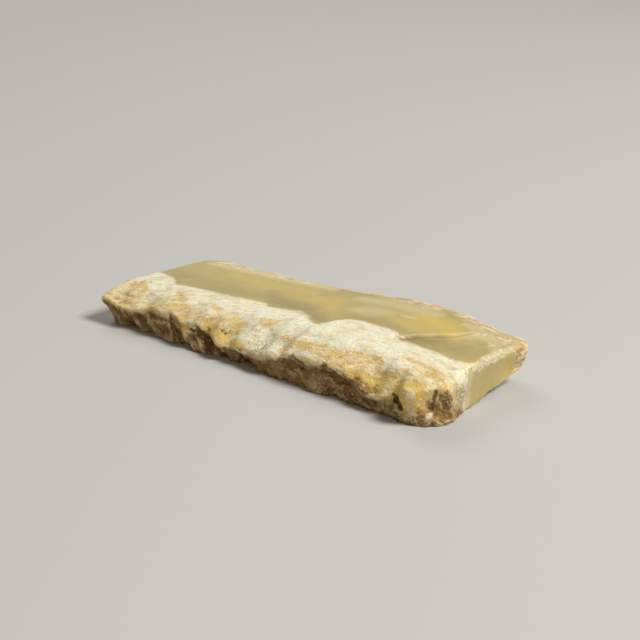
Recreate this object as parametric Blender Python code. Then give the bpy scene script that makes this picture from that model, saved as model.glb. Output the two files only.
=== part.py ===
"""A slice of hokkaidoite, sawn across a vein of banded opal, as one solid.

Metres, +Z up. The origin is the middle of the footprint, on the flat sawn underside. +X runs along the
slice from its pointed end to its broken end, and +Y from its rough near wall to its thin far rind.
"""

import math

import bmesh
import bpy
from mathutils import Vector, noise

# Driving dimensions
LENGTH = 0.0757
WIDTH = 0.0322
THICKNESS = 0.0075

# Cells of the mesh along the slice, across it and up its walls
CELLS_ALONG = 102
CELLS_ACROSS = 22
CELLS_UP = 9
# Above 1, the cells across crowd towards the rough near wall
CROWDING = 1.4
# Straight stretches that each edge of the outline is measured in, and the share of an edge over which its
# direction is taken
EDGE_STEPS = 240
DIRECTION_STEP = 0.02

# The outline of the top, or of the lip on the near side, as four edges that meet at the corners. A point
# is (x, y), in shares of LENGTH and WIDTH from the middle
LIP = {
    "near": [(-0.503, -0.500), (-0.456, -0.503), (-0.403, -0.491), (-0.350, -0.475), (-0.283, -0.468),
             (-0.203, -0.478), (-0.110, -0.481), (-0.031, -0.465), (0.049, -0.459), (0.129, -0.465),
             (0.209, -0.468), (0.289, -0.478), (0.355, -0.468), (0.395, -0.456), (0.435, -0.472),
             (0.465, -0.453), (0.483, -0.415)],
    "far": [(-0.451, 0.168), (-0.439, 0.250), (-0.414, 0.285), (-0.324, 0.294), (-0.230, 0.323),
            (-0.184, 0.320), (-0.097, 0.361), (-0.024, 0.373), (0.033, 0.434), (0.093, 0.475),
            (0.166, 0.503), (0.232, 0.509), (0.299, 0.487), (0.331, 0.453), (0.400, 0.405),
            (0.461, 0.396), (0.491, 0.332)],
    "left": [(-0.503, -0.500), (-0.503, -0.440), (-0.494, -0.370), (-0.484, -0.256), (-0.468, -0.168),
             (-0.460, -0.120), (-0.456, 0.022), (-0.451, 0.168)],
    "right": [(0.483, -0.415), (0.493, -0.358), (0.493, -0.294), (0.487, -0.215), (0.481, -0.123),
              (0.479, -0.041), (0.476, 0.117), (0.481, 0.244), (0.491, 0.332)],
}
# The outline of the foot, in the same shares
FOOT = {
    "near": [(-0.486, -0.449), (-0.461, -0.465), (-0.430, -0.443), (-0.363, -0.456), (-0.257, -0.456),
             (-0.150, -0.453), (-0.051, -0.446), (0.062, -0.456), (0.195, -0.453), (0.328, -0.456),
             (0.422, -0.459), (0.472, -0.434)],
    "far": [(-0.448, 0.161), (-0.434, 0.244), (-0.411, 0.269), (-0.230, 0.304), (-0.097, 0.342),
            (0.033, 0.415), (0.166, 0.487), (0.232, 0.497), (0.331, 0.434), (0.456, 0.377),
            (0.481, 0.323)],
    "left": [(-0.486, -0.449), (-0.492, -0.408), (-0.480, -0.278), (-0.467, -0.152), (-0.456, 0.022),
             (-0.448, 0.161)],
    "right": [(0.472, -0.434), (0.489, -0.370), (0.492, -0.310), (0.483, -0.215), (0.476, -0.136),
              (0.473, 0.022), (0.475, 0.212), (0.481, 0.323)],
}
# How far the walls swell between the two outlines, and the share of the height where they reach the upper one
BELLY = {"near": -0.0002, "far": 0.0003, "left": 0.0003, "right": 0.0001}
WALL_TOP = 0.9

# The height of the near lip: (x as a share of LENGTH, height as a share of THICKNESS)
LIP_HEIGHT = [(-0.50, 0.66), (-0.44, 0.55), (-0.38, 0.50), (-0.35, 0.66), (-0.28, 0.68), (-0.25, 0.57),
              (-0.20, 0.61), (-0.15, 0.46), (-0.10, 0.40), (-0.05, 0.42), (0.00, 0.34), (0.05, 0.40),
              (0.09, 0.60), (0.16, 0.64), (0.25, 0.60), (0.30, 0.42), (0.35, 0.34), (0.385, 0.44),
              (0.41, 0.78), (0.46, 0.84), (0.50, 0.80)]
# Where the slope down to that lip leaves the flat top and where it ends, as shares of WIDTH, and how round
# it is
SLOPE_START = [(-0.50, -0.29), (-0.45, -0.25), (-0.30, -0.22), (-0.05, -0.20), (0.20, -0.24),
               (0.38, -0.31), (0.50, -0.24)]
SLOPE_END = -0.48
SLOPE_POWER = 1.6

# The far rim of the top is rounded over this width, and drops by this much at its edge
RIM_WIDTH = 0.0009
RIM_DROP = 0.0003

# The shallow scoop that a flake left in the glassy band: the ridge where it starts, from the chalky band to
# the rind, in shares of LENGTH and WIDTH, the step down there, and how far it runs out towards the end
SCOOP_RIDGE = [(0.252, -0.025), (0.272, 0.038), (0.299, 0.095), (0.325, 0.158), (0.345, 0.196),
               (0.358, 0.259), (0.365, 0.307)]
SCOOP_STEP = 0.00055
SCOOP_LIP = 0.0004
SCOOP_RUN = 0.0110
# The scoop's two sides in shares of WIDTH, and how far each takes to reach its full depth
SCOOP_NEAR_SIDE = -0.110
SCOOP_FAR_SIDE = 0.300
SCOOP_NEAR_FADE = 0.0015
SCOOP_FAR_FADE = 0.0050

# The spall under the far right corner: the height of the underside along the broken end, as (y as a share
# of WIDTH, height as a share of THICKNESS), and how far it runs in from that end
SPALL_HEIGHT = [(-0.08, 0.0), (-0.01, 0.04), (0.05, 0.14), (0.14, 0.20), (0.22, 0.23), (0.26, 0.32),
                (0.36, 0.44)]
SPALL_RUN = 0.0075

# The flat of the underside starts this far inside the foot of the near wall, which leaves room for notches.
# The power makes that margin fade quickly towards the far side
FOOT_MARGIN = 0.0014
MARGIN_POWER = 6

# Small chips along the bottom edge, and the offset that leaves whole stretches between them
CHIP_HEIGHT = 0.0012
CHIP_OFFSET = 0.05
CHIP_SCALE = 0.0024

# Notches in the foot of the near wall: x and half width as shares of LENGTH, and height in metres
FOOT_NOTCHES = [(-0.430, 0.016, 0.00030), (-0.366, 0.014, 0.00035), (-0.222, 0.020, 0.00030),
                (-0.048, 0.015, 0.00080), (0.078, 0.012, 0.00045), (0.224, 0.012, 0.00055),
                (0.340, 0.014, 0.00035)]

# Lumps: centre in shares of LENGTH, WIDTH and THICKNESS, radii in metres, and push outwards
LUMPS = [
    ((0.430, -0.440, 0.58), (0.0036, 0.0038, 0.0036), 0.00115),   # honey lump at the broken corner
    ((0.436, -0.465, 0.12), (0.0024, 0.0022, 0.0013), 0.00070),   # olive lump under it
    ((0.484, -0.430, 0.24), (0.0010, 0.0010, 0.0010), 0.00050),   # pebble by the cleft
    ((0.000, -0.460, 0.50), (0.0050, 0.0034, 0.0026), 0.00085),   # chalky bulge
    ((-0.330, -0.470, 0.44), (0.0034, 0.0025, 0.0024), 0.00075),  # tan shoulder
    ((-0.238, -0.470, 0.30), (0.0022, 0.0024, 0.0022), 0.00060),  # knob left of the trough
    ((0.112, -0.470, 0.26), (0.0019, 0.0022, 0.0017), 0.00065),   # arch
    ((0.030, -0.470, 0.14), (0.0026, 0.0022, 0.0014), 0.00050),   # amber foot
    ((0.322, -0.455, 0.46), (0.0052, 0.0030, 0.0020), 0.00055),   # golden ledge
    ((-0.185, -0.470, 0.16), (0.0030, 0.0022, 0.0014), 0.00060),  # pale foot below the trough
    ((-0.118, -0.468, 0.40), (0.0042, 0.0024, 0.0016), 0.00060),  # honey flank
    ((-0.460, -0.470, 0.24), (0.0030, 0.0022, 0.0016), 0.00045),  # foot of the pointed end
    ((-0.400, -0.470, 0.20), (0.0022, 0.0022, 0.0014), 0.00045),  # second foot
    ((0.170, -0.470, 0.18), (0.0034, 0.0022, 0.0012), 0.00045),   # grey foot
]

# Grooves and clefts: points as (x, height) in shares of LENGTH and THICKNESS, half width and depth in metres
GROOVES = [
    # Under the pointed lip
    ([(-0.490, 0.40), (-0.385, 0.38)], 0.0011, 0.00070),
    # Under the tan shoulder
    ([(-0.380, 0.50), (-0.352, 0.60), (-0.300, 0.58)], 0.0010, 0.00075),
    # First trough
    ([(-0.436, 0.36), (-0.412, 0.04)], 0.0010, 0.00070),
    # Second trough
    ([(-0.384, 0.44), (-0.362, 0.06)], 0.0010, 0.00080),
    # Crack from the lip
    ([(-0.284, 0.72), (-0.268, 0.40), (-0.240, 0.04)], 0.0010, 0.00085),
    # Main trough
    ([(-0.222, 0.66), (-0.178, 0.42), (-0.139, 0.20), (-0.110, 0.02)], 0.0012, 0.00110),
    # Trough to the notch
    ([(-0.078, 0.38), (-0.061, 0.18), (-0.046, 0.00)], 0.0011, 0.00095),
    # Beside the arch
    ([(0.068, 0.52), (0.078, 0.30), (0.082, 0.02)], 0.0009, 0.00060),
    # Right lip
    ([(0.092, 0.50), (0.140, 0.54), (0.225, 0.58), (0.277, 0.44), (0.335, 0.22)], 0.0012, 0.00100),
    # Above the foot notch
    ([(0.205, 0.26), (0.226, 0.00)], 0.0010, 0.00060),
    # Hole by the honey lump
    ([(0.382, 0.50), (0.406, 0.30)], 0.0010, 0.00130),
    # Brown cleft
    ([(0.470, 0.72), (0.480, 0.30)], 0.0009, 0.00070),
]

# The near wall turns into the broken end over its last stretch, and so do the lumps on it
CORNER_START = 0.38
CORNER_END = 0.5
CORNER_TURN = math.radians(55)

# A groove is cut where the wall faces outwards by this much, fully so after the fade, and its sides flare to
# this many half widths
FACING_START = 0.35
GROOVE_FADE = 0.5
GROOVE_FLARE = 1.4

# Where the surface is broken. The chalky band meets the glassy one at this share of WIDTH, left and right of
# the middle. The near wall is fully broken, the chalk, the far wall and the left end less so
CHALK_LINE_LEFT = -0.17
CHALK_LINE_RIGHT = -0.10
NEAR_FADE = 0.16
CHALK_FADE = 0.04
CHALK_ROUGH = 0.25
FAR_WALL_ROUGH = 0.6
LEFT_END_ROUGH = 0.45
# How far sideways a face points where it starts to count as one of those walls, and by how much it fades in
SIDEWAYS_START = 0.3
SIDEWAYS_FADE = 0.4

# Slanting creases down the near wall, long one way, and the broken relief of everything rough
CREASE_SLANT = math.radians(40)
CREASE_LENGTH = 0.0080
CREASE_WIDTH = 0.0030
CREASE_HEIGHT = 0.00050
CREASE_FADE = 0.4
CREASE_SHARPNESS = 4
RELIEF_SCALE = 0.0032
RELIEF_HEIGHT = 0.00042
RELIEF_FALL = 0.9
RELIEF_STEP = 2.1
RELIEF_LAYERS = 3
FINE_SCALE = 0.0015
FINE_HEIGHT = 0.00020
FINE_OFFSET = Vector((3.1, 7.7, 1.9))

# Vertices nearer than this share of WIDTH are eased after the carving, by this much
SPIKE_SIDE = -0.30
SPIKE_EASE = 0.45

# A face of the underside points down at least this squarely, and edges sharper than this angle stay crisp
SQUARELY_DOWN = -0.9
SHARP_ANGLE = math.radians(50)

STONE_COLOUR = (0.70, 0.55, 0.32, 1.0)
STONE_ROUGHNESS = 0.42
TINY = 1e-9


def clear_scene():
    """Removes whatever the file opened with."""
    for thing in list(bpy.data.objects):
        bpy.data.objects.remove(thing)


def place(shares):
    """Turns shares of the driving dimensions into metres."""
    sizes = (LENGTH, WIDTH, THICKNESS)
    return Vector([share * size for share, size in zip(shares, sizes)])


def ease(share):
    """A smooth step from 0 to 1."""
    share = min(1.0, max(0.0, share))
    return share * share * (3 - 2 * share)


def spline(points, share):
    """The point at a share of the way along a Catmull-Rom curve through points."""
    spans = len(points) - 1
    position = min(max(share, 0.0), 1.0) * spans
    first = min(int(position), spans - 1)
    t = position - first
    before = points[max(first - 1, 0)]
    after = points[min(first + 2, spans)]
    start, end = points[first], points[first + 1]
    return (2 * start + (end - before) * t + (2 * before - 5 * start + 4 * end - after) * t * t
            + (3 * start - before - 3 * end + after) * t ** 3) / 2


def level(table, x):
    """The value at x of a smooth line through a table of (x, value)."""
    if x <= table[0][0]:
        return table[0][1]
    for (x0, low), (x1, high) in zip(table, table[1:]):
        if x <= x1:
            return low + (high - low) * ease((x - x0) / (x1 - x0))
    return table[-1][1]


def even_edge(points):
    """One edge of the outline as a function of its share, even in length from end to end."""
    curve = [place(point) for point in points]
    samples = [spline(curve, step / EDGE_STEPS) for step in range(EDGE_STEPS + 1)]
    reach = [0.0]
    for here, there in zip(samples, samples[1:]):
        reach.append(reach[-1] + (there - here).length)

    def at(share):
        wanted = share * reach[-1]
        index = max(1, next((i for i, r in enumerate(reach) if r >= wanted), EDGE_STEPS))
        part = (wanted - reach[index - 1]) / max(reach[index] - reach[index - 1], TINY)
        return samples[index - 1].lerp(samples[index], part)

    return at


def outward(edge, share, turn):
    """The horizontal direction out of the slice at a share of an edge; turn is 1 or -1, the side it faces."""
    along = edge(min(share + DIRECTION_STEP, 1.0)) - edge(max(share - DIRECTION_STEP, 0.0))
    return Vector((along.y, -along.x)).normalized() * turn


def outline_at(up):
    """The four edges at a share of the way up the walls, as lists of horizontal points."""
    shares_along = [i / CELLS_ALONG for i in range(CELLS_ALONG + 1)]
    shares_across = [(j / CELLS_ACROSS) ** CROWDING for j in range(CELLS_ACROSS + 1)]
    rise = ease(up / WALL_TOP)
    sides = {}
    for name, shares, turn in (("near", shares_along, 1), ("far", shares_along, -1),
                               ("left", shares_across, -1), ("right", shares_across, 1)):
        foot, lip = FOOT_EDGES[name], LIP_EDGES[name]
        swell = BELLY[name] * math.sin(math.pi * up)
        sides[name] = [foot(s).lerp(lip(s), rise) + outward(lip, s, turn) * swell for s in shares]
    for side, end, at_side, at_end in (("near", "left", 0, 0), ("near", "right", -1, 0),
                                       ("far", "left", 0, -1), ("far", "right", -1, -1)):
        corner = (sides[side][at_side] + sides[end][at_end]) / 2
        sides[side][at_side] = sides[end][at_end] = corner
    return sides


def patch_point(sides, i, j):
    """The point of the Coons patch between the four edges at cell corner i, j."""
    s = i / CELLS_ALONG
    t = (j / CELLS_ACROSS) ** CROWDING
    near, far, left, right = sides["near"], sides["far"], sides["left"], sides["right"]
    across = near[i] * (1 - t) + far[i] * t
    along = left[j] * (1 - s) + right[j] * s
    corners = (near[0] * (1 - s) + near[-1] * s) * (1 - t) + (far[0] * (1 - s) + far[-1] * s) * t
    return across + along - corners


def along_line(line, y):
    """The x of a line of points, each further over in y, at a given y."""
    for start, end in zip(line, line[1:]):
        if y <= end.y:
            break
    return start.x + (end.x - start.x) * (y - start.y) / (end.y - start.y)


def past_ridge(x, y):
    """How far a point of the top lies to the right of the scoop's ridge."""
    return x - along_line([place(point) for point in SCOOP_RIDGE], y)


def drawn_to_ridge(point):
    """A point of the top, moved onto the scoop's ridge where it lies within half a cell of it."""
    past = past_ridge(point.x, point.y)
    half_cell = LENGTH / CELLS_ALONG / 2
    inside = SCOOP_RIDGE[0][1] <= point.y / WIDTH <= SCOOP_RIDGE[-1][1]
    if inside and -half_cell < past <= half_cell:
        return Vector((point.x - past, point.y))
    return point


def scoop_depth(x, y):
    """How far the flake scar lies below the flat top."""
    low, high = SCOOP_NEAR_SIDE * WIDTH, SCOOP_FAR_SIDE * WIDTH
    past = past_ridge(x, y)
    if past < 0 or past > SCOOP_RUN or not low < y < high:
        return 0.0
    step = min(1.0, past / SCOOP_LIP)
    fade = 1 - ease(past / SCOOP_RUN)
    sides = ease((y - low) / SCOOP_NEAR_FADE) * ease((high - y) / SCOOP_FAR_FADE)
    return SCOOP_STEP * step * fade * sides


def top_height(point, rim_gap):
    """The height of the top at a horizontal point that lies rim_gap inside the far edge."""
    x_share, y_share = point.x / LENGTH, point.y / WIDTH
    start = level(SLOPE_START, x_share)
    lip = level(LIP_HEIGHT, x_share)
    down = max(0.0, (start - y_share) / (start - SLOPE_END))
    height = THICKNESS * (1 - (1 - lip) * min(1.0, down) ** SLOPE_POWER)
    height -= RIM_DROP * (1 - ease(rim_gap / RIM_WIDTH))
    return height - scoop_depth(point.x, point.y)


def under_height(point, on_edge):
    """The height of the underside: flat, but for the spall and, along its edge, chips and notches."""
    from_end = FOOT["right"][-1][0] * LENGTH - point.x
    spall = THICKNESS * level(SPALL_HEIGHT, point.y / WIDTH) * (1 - ease(from_end / SPALL_RUN))
    if not on_edge:
        return spall
    chip = CHIP_HEIGHT * (noise.noise(point.to_3d() / CHIP_SCALE) - CHIP_OFFSET)
    notch = 0.0
    if point.y < 0:
        notch = max(height * (1 - abs(point.x / LENGTH - x) / half) for x, half, height in FOOT_NOTCHES)
    return max(spall, chip, notch, 0.0)


def form_move(point, normal):
    """How far the lumps and grooves move a point: lumps out of the near side, grooves into it."""
    turn = CORNER_TURN * ease((point.x / LENGTH - CORNER_START) / (CORNER_END - CORNER_START))
    out = Vector((math.sin(turn), -math.cos(turn), 0))
    facing = ease((normal.dot(out) - FACING_START) / GROOVE_FADE)
    return out * (lump_height(point) - facing * groove_depth(point))


def lump_height(point):
    """The height of all the lumps together at a point."""
    total = 0.0
    for centre, radii, height in LUMPS:
        away = point - place(centre)
        reach = math.sqrt(sum((gap / radius) ** 2 for gap, radius in zip(away, radii)))
        if reach < 1:
            total += height * (1 - reach ** 2) ** 2
    return total


def groove_depth(point):
    """The depth of the deepest groove at a point, seen from the near side."""
    here = Vector((point.x, point.z))
    cut = 0.0
    for points, half_width, depth in GROOVES:
        line = [Vector((x * LENGTH, z * THICKNESS)) for x, z in points]
        gap = min(distance_to(here, start, end) for start, end in zip(line, line[1:]))
        cut = max(cut, depth * (1 - ease(gap / (GROOVE_FLARE * half_width))))
    return cut


def distance_to(point, start, end):
    """The distance from a point to a straight stretch."""
    to_point, run = point - start, end - start
    share = min(1.0, max(0.0, to_point.dot(run) / run.length_squared))
    return (to_point - run * share).length


def roughness_at(point, normal):
    """How broken the surface is, from 0 on the glassy band and the clean end to 1 on the near wall."""
    past_line = point.y / WIDTH - (CHALK_LINE_RIGHT if point.x > 0 else CHALK_LINE_LEFT)
    near = 1 - ease((past_line + NEAR_FADE) / NEAR_FADE)
    chalk = CHALK_ROUGH * (1 - ease(past_line / CHALK_FADE))
    far_wall = FAR_WALL_ROUGH * ease((normal.y - SIDEWAYS_START) / SIDEWAYS_FADE)
    left_end = LEFT_END_ROUGH * ease((-normal.x - SIDEWAYS_START) / SIDEWAYS_FADE)
    return min(1.0, max(near, chalk, far_wall, left_end))


def relief(point):
    """The broken relief of the rough stone, from about -1 to 1 of its height."""
    broad = noise.fractal(point / RELIEF_SCALE, RELIEF_FALL, RELIEF_STEP, RELIEF_LAYERS)
    fine = 1 - 2 * abs(noise.noise(point / FINE_SCALE + FINE_OFFSET))
    return broad * RELIEF_HEIGHT + fine * FINE_HEIGHT


def creases(point, normal):
    """Slanting crests and hollows, on the part of the wall that faces the near side."""
    facing = ease((-normal.y - FACING_START) / CREASE_FADE)
    along = point.x * math.cos(CREASE_SLANT) - point.z * math.sin(CREASE_SLANT)
    across = point.x * math.sin(CREASE_SLANT) + point.z * math.cos(CREASE_SLANT)
    swell = noise.noise(Vector((along / CREASE_LENGTH, across / CREASE_WIDTH, point.y / CREASE_LENGTH)))
    return facing * CREASE_HEIGHT * (1 - CREASE_SHARPNESS * abs(swell))


def top_point(row, i, j):
    """The point of the top at cell corner i, j, from the outline at the top of the walls."""
    point = drawn_to_ridge(patch_point(row, i, j))
    rim_gap = (row["far"][i] - point).length
    return point.x, point.y, top_height(point, rim_gap)


def foot_point(row, i, j):
    """The point of the underside at cell corner i, j, from the outline of the foot."""
    point = patch_point(row, i, j)
    on_edge = (i, j) in RIM_CELLS
    if not on_edge:
        point.y += FOOT_MARGIN * (1 - j / CELLS_ACROSS) ** MARGIN_POWER
    return point.x, point.y, under_height(point, on_edge)


def grid_points():
    """Every point of the shell by its cell corner i, j, k: underside, top, then the walls row by row."""
    rows = [outline_at(k / CELLS_UP) for k in range(CELLS_UP + 1)]
    corners = [(i, j) for i in range(CELLS_ALONG + 1) for j in range(CELLS_ACROSS + 1)]
    points = {(i, j, 0): foot_point(rows[0], i, j) for i, j in corners}
    points.update({(i, j, CELLS_UP): top_point(rows[-1], i, j) for i, j in corners})
    for k in range(1, CELLS_UP):
        for i, j in (corner for corner in corners if corner in RIM_CELLS):
            point = patch_point(rows[k], i, j)
            low, high = points[i, j, 0][2], points[i, j, CELLS_UP][2]
            points[i, j, k] = (point.x, point.y, low + (high - low) * k / CELLS_UP)
    return points


def build_grid(mesh):
    """Makes the closed shell: the top, the walls row by row, and the underside."""
    vertices = {corner: mesh.verts.new(point) for corner, point in grid_points().items()}
    last_i, last_j = CELLS_ALONG, CELLS_ACROSS

    def quad(*corners):
        mesh.faces.new([vertices[corner] for corner in corners])

    for i in range(last_i):
        for j in range(last_j):
            quad((i, j, CELLS_UP), (i + 1, j, CELLS_UP), (i + 1, j + 1, CELLS_UP), (i, j + 1, CELLS_UP))
            quad((i, j, 0), (i, j + 1, 0), (i + 1, j + 1, 0), (i + 1, j, 0))
    for k in range(CELLS_UP):
        for i in range(last_i):
            quad((i, 0, k), (i + 1, 0, k), (i + 1, 0, k + 1), (i, 0, k + 1))
            quad((i + 1, last_j, k), (i, last_j, k), (i, last_j, k + 1), (i + 1, last_j, k + 1))
        for j in range(last_j):
            quad((0, j + 1, k), (0, j, k), (0, j, k + 1), (0, j + 1, k + 1))
            quad((last_i, j, k), (last_i, j + 1, k), (last_i, j + 1, k + 1), (last_i, j, k + 1))


def carve(mesh):
    """Pushes each vertex off the underside along its normal, by the forms, the creases and the relief."""
    mesh.normal_update()
    moves = []
    for vertex in mesh.verts:
        point, normal = vertex.co.copy(), vertex.normal.copy()
        if point.z < TINY and normal.z < SQUARELY_DOWN:
            continue
        rough = roughness_at(point, normal)
        push = rough * (relief(point) + creases(point, normal))
        moves.append((vertex, point, normal * push + form_move(point, normal)))
    for vertex, point, move in moves:
        vertex.co = point + move
        vertex.co.z = max(0.0, vertex.co.z) if point.z > TINY else 0.0


def ease_spikes(mesh):
    """Draws each carved vertex of the near side a little towards its neighbours, so that none is a spike."""
    carved = [v for v in mesh.verts if v.co.z > TINY and v.co.y < SPIKE_SIDE * WIDTH]
    bmesh.ops.smooth_vert(mesh, verts=carved, factor=SPIKE_EASE, use_axis_x=True, use_axis_y=True,
                          use_axis_z=True)


def merge_flat_underside(mesh):
    """Joins the level faces of the sawn underside into one flat face."""
    level_faces = [face for face in mesh.faces if all(abs(v.co.z) < TINY for v in face.verts)]
    bmesh.ops.dissolve_faces(mesh, faces=level_faces)


def centre_footprint(mesh):
    """Moves the shell so that the middle of its footprint is the origin, and trims it to its sizes."""
    lows = [min(v.co[axis] for v in mesh.verts) for axis in range(2)]
    highs = [max(v.co[axis] for v in mesh.verts) for axis in range(2)]
    for axis, size in enumerate((LENGTH, WIDTH)):
        middle, reach = (lows[axis] + highs[axis]) / 2, highs[axis] - lows[axis]
        for vertex in mesh.verts:
            vertex.co[axis] = (vertex.co[axis] - middle) * size / reach


def stone_material():
    """Warm cream stone with a soft gloss."""
    material = bpy.data.materials.new("banded_opal")
    material.use_nodes = True
    shader = material.node_tree.nodes["Principled BSDF"]
    shader.inputs["Base Color"].default_value = STONE_COLOUR
    shader.inputs["Roughness"].default_value = STONE_ROUGHNESS
    shader.inputs["Metallic"].default_value = 0.0
    return material


def make_slice():
    """Builds the slice as one named object."""
    shell = bmesh.new()
    build_grid(shell)
    carve(shell)
    ease_spikes(shell)
    centre_footprint(shell)
    merge_flat_underside(shell)
    data = bpy.data.meshes.new("opal_slice")
    shell.to_mesh(data)
    shell.free()
    data.shade_smooth()
    data.set_sharp_from_angle(angle=SHARP_ANGLE)
    data.materials.append(stone_material())
    piece = bpy.data.objects.new("opal_slice", data)
    bpy.context.scene.collection.objects.link(piece)
    return piece


LIP_EDGES = {name: even_edge(points) for name, points in LIP.items()}
FOOT_EDGES = {name: even_edge(points) for name, points in FOOT.items()}
RIM_CELLS = {(i, j) for i in range(CELLS_ALONG + 1) for j in range(CELLS_ACROSS + 1)
             if i in (0, CELLS_ALONG) or j in (0, CELLS_ACROSS)}

clear_scene()
make_slice()
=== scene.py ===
"""A slice of hokkaidoite, dressed: a glassy opal band, a chalky fibrous band, a rough wall and a thin rind.

The stone is one piece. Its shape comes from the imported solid, made finer and broken up here. Marks on the
stone are written in millimetres: on the top as (x, y), on the near wall as (x, z), on the end as (y, z), and
on any face as (x, y, z).
"""

import logging
import math
from dataclasses import dataclass, field
from enum import Enum
from functools import partial, reduce

import bpy
import numpy as np
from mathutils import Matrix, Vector


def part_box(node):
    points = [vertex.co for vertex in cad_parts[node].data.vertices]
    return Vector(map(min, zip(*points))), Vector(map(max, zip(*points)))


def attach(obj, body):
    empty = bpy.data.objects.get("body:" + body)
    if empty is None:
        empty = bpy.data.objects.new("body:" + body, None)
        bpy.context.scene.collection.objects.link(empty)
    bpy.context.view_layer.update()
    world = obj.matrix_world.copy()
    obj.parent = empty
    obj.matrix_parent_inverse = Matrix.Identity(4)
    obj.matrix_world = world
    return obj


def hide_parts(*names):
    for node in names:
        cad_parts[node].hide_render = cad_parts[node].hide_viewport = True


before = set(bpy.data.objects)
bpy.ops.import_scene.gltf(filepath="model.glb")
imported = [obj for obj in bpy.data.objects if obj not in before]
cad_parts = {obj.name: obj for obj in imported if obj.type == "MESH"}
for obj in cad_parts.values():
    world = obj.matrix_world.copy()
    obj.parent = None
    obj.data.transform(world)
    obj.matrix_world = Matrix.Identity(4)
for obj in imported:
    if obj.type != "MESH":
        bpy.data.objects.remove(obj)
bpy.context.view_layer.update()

MM = 0.001
NODE = "opal_slice"
Array = np.ndarray
Line = tuple[tuple[float, ...], ...]
Triple = tuple[float, float, float]
Socket = bpy.types.NodeSocket

log = logging.getLogger("opal_slice")


def rise(values: Array, low: float, high: float) -> Array:
    """Rises smoothly from 0 to 1 as values go from low to high."""
    share = np.clip((values - low) / (high - low), 0, 1)
    return share * share * (3 - 2 * share)


def height_over(line: Line, x: Array, y: Array) -> Array:
    """How far y lies past a line whose corners stand in order of x."""
    return y - np.interp(x, *zip(*line))


def right_of(line: Line, x: Array, y: Array) -> Array:
    """How far x lies to the right of a line that runs from near to far."""
    return height_over(tuple(sorted((along, across) for across, along in line)), y, x)


def to_line(flat: Array, line: Line) -> tuple[Array, Array]:
    """Where each point lies by a bent line.

    Args:
        flat: Points, with as many coordinates as the line's corners.
        line: The corners of the line.

    Returns:
        The distance from the line, and the share of the way along it, for each point.
    """
    best = np.full(len(flat), np.inf)
    along = np.full(len(flat), 0.5)
    corners = np.array(line, dtype=float)
    runs = np.diff(corners, axis=0)
    lengths = np.linalg.norm(runs, axis=1)
    for start, run, length, before in zip(corners, runs, lengths, np.cumsum(lengths) - lengths):
        share = np.clip(((flat - start) @ run) / length ** 2, 0, 1)
        gap = np.linalg.norm(flat - start - share[:, None] * run, axis=-1)
        along = np.where(gap < best, (before + share * length) / lengths.sum(), along)
        best = np.minimum(best, gap)
    return best, along


@dataclass(frozen=True)
class Crumble:
    """A repeatable broken pattern, with the width of its swells in millimetres and a seed of its own."""

    size: float
    seed: int

    PRIMES = np.array((374761393, 668265263, 2147483647))
    STEP = 1442695041
    STIRS = ((15, 2246822519), (13, 3266489917))

    @classmethod
    def _chance(cls, cells: Array, seed: int) -> Array:
        """One settled number from 0 to 1 for each whole cell.

        Args:
            cells: Whole cell numbers, one row each.
            seed: Tells one pattern from another.

        Returns:
            A number for each row.
        """
        mixed = ((cells * cls.PRIMES).sum(axis=-1) + seed * cls.STEP) & 0xFFFFFFFF
        for shift, factor in cls.STIRS:
            mixed = ((mixed ^ (mixed >> shift)) * factor) & 0xFFFFFFFF
        return ((mixed ^ (mixed >> 16)) & 0xFFFFFF) / float(0xFFFFFF)

    def _chances(self, cells: Array, apart: int) -> Array:
        """Three settled numbers from 0 to 1 for each whole cell."""
        return np.stack([self._chance(cells, self.seed + apart * axis) for axis in range(3)], axis=-1)

    def soft(self, points: Array) -> Array:
        """Rolling noise.

        Args:
            points: Places in millimetres.

        Returns:
            A value from about -1 to 1 for each point.
        """
        scaled = points / self.size
        base = np.floor(scaled).astype(np.int64)
        part = scaled - base
        blend = part * part * part * (part * (part * 6 - 15) + 10)
        total = np.zeros(len(points))
        for corner in np.ndindex(2, 2, 2):
            step = np.array(corner[::-1])
            tilt = self._chances(base + step, 11) * 2 - 1
            weight = np.prod(np.where(step == 1, blend, 1 - blend), axis=-1)
            total += weight * (tilt * (part - step)).sum(axis=-1)
        return total * 1.6

    def layered(self, points: Array) -> Array:
        """Rolling noise with two finer noises on it, from about -1 to 1."""
        return sum(Crumble(self.size / 2.03 ** layer, self.seed + 101 * layer).soft(points) * 0.5 ** layer
                   for layer in range(3))

    def creased(self, points: Array) -> Array:
        """Sharp crests with rounded hollows.

        Args:
            points: Places in millimetres.

        Returns:
            A value for each point, from -1 in the hollows to 1 on the crests.
        """
        noises = (self, Crumble(self.size / 2.1, self.seed + 7))
        broad, fine = (1 - 2 * np.abs(noise.soft(points)) for noise in noises)
        return np.clip(0.7 * broad + 0.3 * fine, -1, 1)

    def chips(self, points: Array) -> tuple[Array, Array]:
        """Flat-faced chips packed side by side.

        Args:
            points: Places in millimetres.

        Returns:
            How far each point is from the middle of its chip, in chip widths, and the chip's own number.
        """
        scaled = points / self.size
        base = np.floor(scaled).astype(np.int64)
        nearest = np.full(len(points), np.inf)
        owner = np.zeros(len(points))
        for shift in np.ndindex(3, 3, 3):
            cell = base + np.array(shift) - 1
            gap = np.linalg.norm(scaled - (cell + self._chances(cell, 31)), axis=-1)
            closer = gap < nearest
            owner = np.where(closer, self._chance(cell, self.seed + 97), owner)
            nearest = np.where(closer, gap, nearest)
        return nearest, owner


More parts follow.
